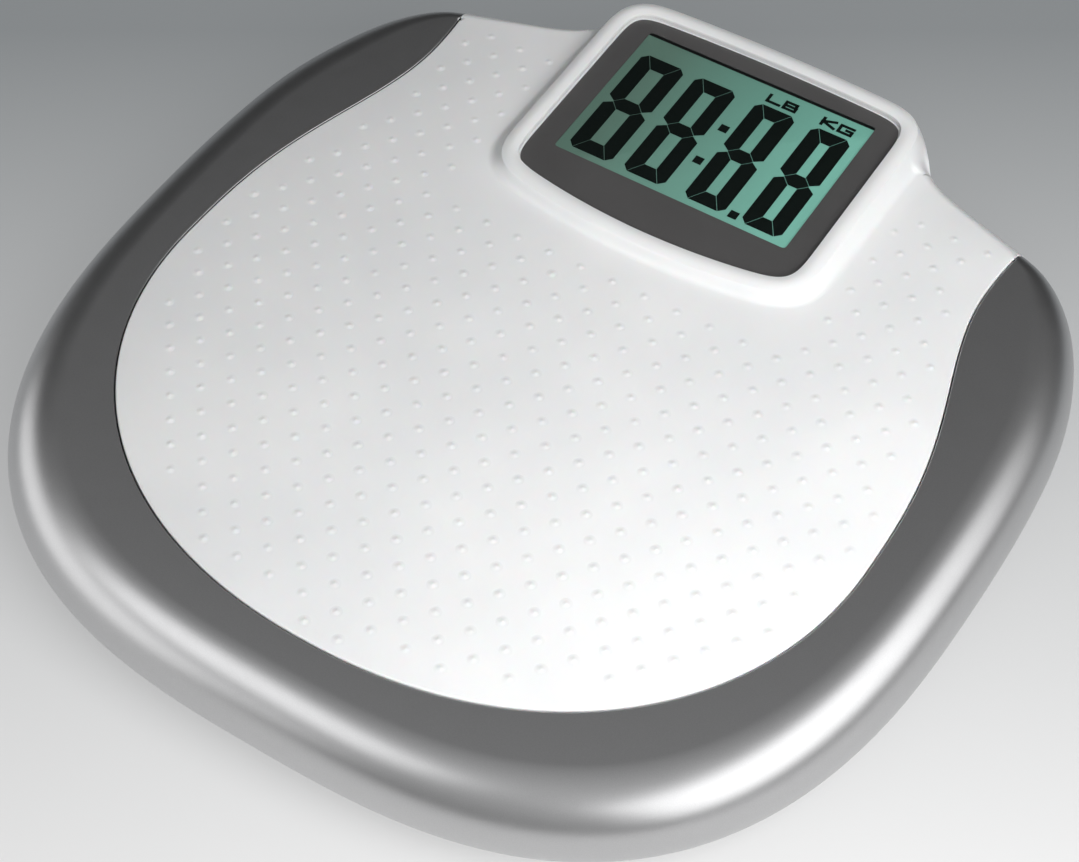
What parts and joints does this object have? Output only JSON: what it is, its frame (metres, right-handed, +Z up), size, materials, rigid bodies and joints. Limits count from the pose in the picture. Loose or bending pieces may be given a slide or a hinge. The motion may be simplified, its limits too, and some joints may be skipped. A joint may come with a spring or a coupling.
{
  "type": "digital bathroom scale",
  "caption": "Rounded electronic floor scale with a moulded standing deck, a raised display hood at the rear edge and sprung load-cell feet.",
  "frame": {"origin": "on the floor under the middle of the scale", "axes": "+Z up, +X to the user's right, +Y from the user's heels towards the display"},
  "size_m": [0.3204, 0.324, 0.0495],
  "materials": {
    "white_plastic": "satin white moulded plastic, textured where the feet stand",
    "silver_paint": "silver-grey metallic paint on plastic",
    "grey_plastic": "grey moulded plastic",
    "clear_window": "clear, glossy",
    "mask_print": "dark grey printed film",
    "display_glass": "green, with black segments",
    "light_guide": "edge-lit green acrylic",
    "black_plastic": "black moulded plastic",
    "lamp": "lamp housings",
    "contact_rubber": "striped contact rubber",
    "board_green": "green solder mask",
    "resin": "black resin",
    "component": "electronic parts",
    "nylon": "natural nylon",
    "steel": "zinc-plated steel",
    "spring_steel": "spring steel plate",
    "gauge_film": "amber film under clear resin",
    "foot_rubber": "matt black rubber",
    "nickel": "nickel-plated spring strip",
    "cell_jacket": "printed cell jacket, no lettering",
    "button_plastic": "light grey plastic",
    "lead_sleeve": "insulated wire"
  },
  "bodies": {
    "scale_body": {"deck": "white_plastic", "upper_shell": "silver_paint", "base_tray": "grey_plastic", "window": "clear_window", "window_mask": "mask_print", "display_glass": "display_glass", "light_guide": "light_guide", "lamp_bar": "lamp", "glass_frame": "black_plastic", "contact_strips": "contact_rubber", "main_board": "board_green", "chip_cover": "resin", "board_parts": "component", "lead_headers": "nylon", "frame_screws": "steel", "contact_springs": "nickel", "contact_plates": "nickel", "switch_body": "component", "switch_board": "board_green", "switch_screws": "steel", "base_screws": "steel", "rail_screws": "steel", "battery_lead": "lead_sleeve", "switch_lead": "lead_sleeve", "cross_rail_front": "steel", "cross_rail_rear": "steel", "cell_holder_front_left": "nylon", "load_cell_front_left": "spring_steel", "strain_gauge_front_left": "gauge_film", "cell_lead_front_left": "lead_sleeve", "cell_holder_front_right": "nylon", "load_cell_front_right": "spring_steel", "strain_gauge_front_right": "gauge_film", "cell_lead_front_right": "lead_sleeve", "cell_holder_rear_left": "nylon", "load_cell_rear_left": "spring_steel", "strain_gauge_rear_left": "gauge_film", "cell_lead_rear_left": "lead_sleeve", "cell_holder_rear_right": "nylon", "load_cell_rear_right": "spring_steel", "strain_gauge_rear_right": "gauge_film", "cell_lead_rear_right": "lead_sleeve", "battery_1": "cell_jacket", "battery_2": "cell_jacket", "battery_3": "cell_jacket", "battery_4": "cell_jacket"},
    "front_left_foot": {"foot_front_left": "grey_plastic", "foot_pad_front_left": "foot_rubber"},
    "front_right_foot": {"foot_front_right": "grey_plastic", "foot_pad_front_right": "foot_rubber"},
    "rear_left_foot": {"foot_rear_left": "grey_plastic", "foot_pad_rear_left": "foot_rubber"},
    "rear_right_foot": {"foot_rear_right": "grey_plastic", "foot_pad_rear_right": "foot_rubber"},
    "button": {"unit_button": "button_plastic", "switch_plunger": "black_plastic"},
    "door": {"battery_door": "grey_plastic"}
  },
  "joints": [
    {"name": "front_left_foot_press", "type": "slide", "parent": "scale_body", "child": "front_left_foot", "axis": [0, 0, 1], "range_m": [0, 0.0008], "stiffness_N_per_m": 1500, "springref_m": -0.003, "deforming": ["load_cell_front_left", "strain_gauge_front_left"]},
    {"name": "front_right_foot_press", "type": "slide", "parent": "scale_body", "child": "front_right_foot", "axis": [0, 0, 1], "range_m": [0, 0.0008], "stiffness_N_per_m": 1500, "springref_m": -0.003, "deforming": ["load_cell_front_right", "strain_gauge_front_right"]},
    {"name": "rear_left_foot_press", "type": "slide", "parent": "scale_body", "child": "rear_left_foot", "axis": [0, 0, 1], "range_m": [0, 0.0008], "stiffness_N_per_m": 1500, "springref_m": -0.003, "deforming": ["load_cell_rear_left", "strain_gauge_rear_left"]},
    {"name": "rear_right_foot_press", "type": "slide", "parent": "scale_body", "child": "rear_right_foot", "axis": [0, 0, 1], "range_m": [0, 0.0008], "stiffness_N_per_m": 1500, "springref_m": -0.003, "deforming": ["load_cell_rear_right", "strain_gauge_rear_right"]},
    {"name": "unit_button_press", "type": "slide", "parent": "scale_body", "child": "button", "axis": [0, 0, 1], "range_m": [0, 0.0006], "stiffness_N_per_m": 1800},
    {"name": "battery_door_hinge", "type": "hinge", "parent": "scale_body", "child": "door", "pos_m": [-0.0246, 0, 0.0101], "axis": [0, 1, 0], "range_deg": [0, 75]}
  ]
}
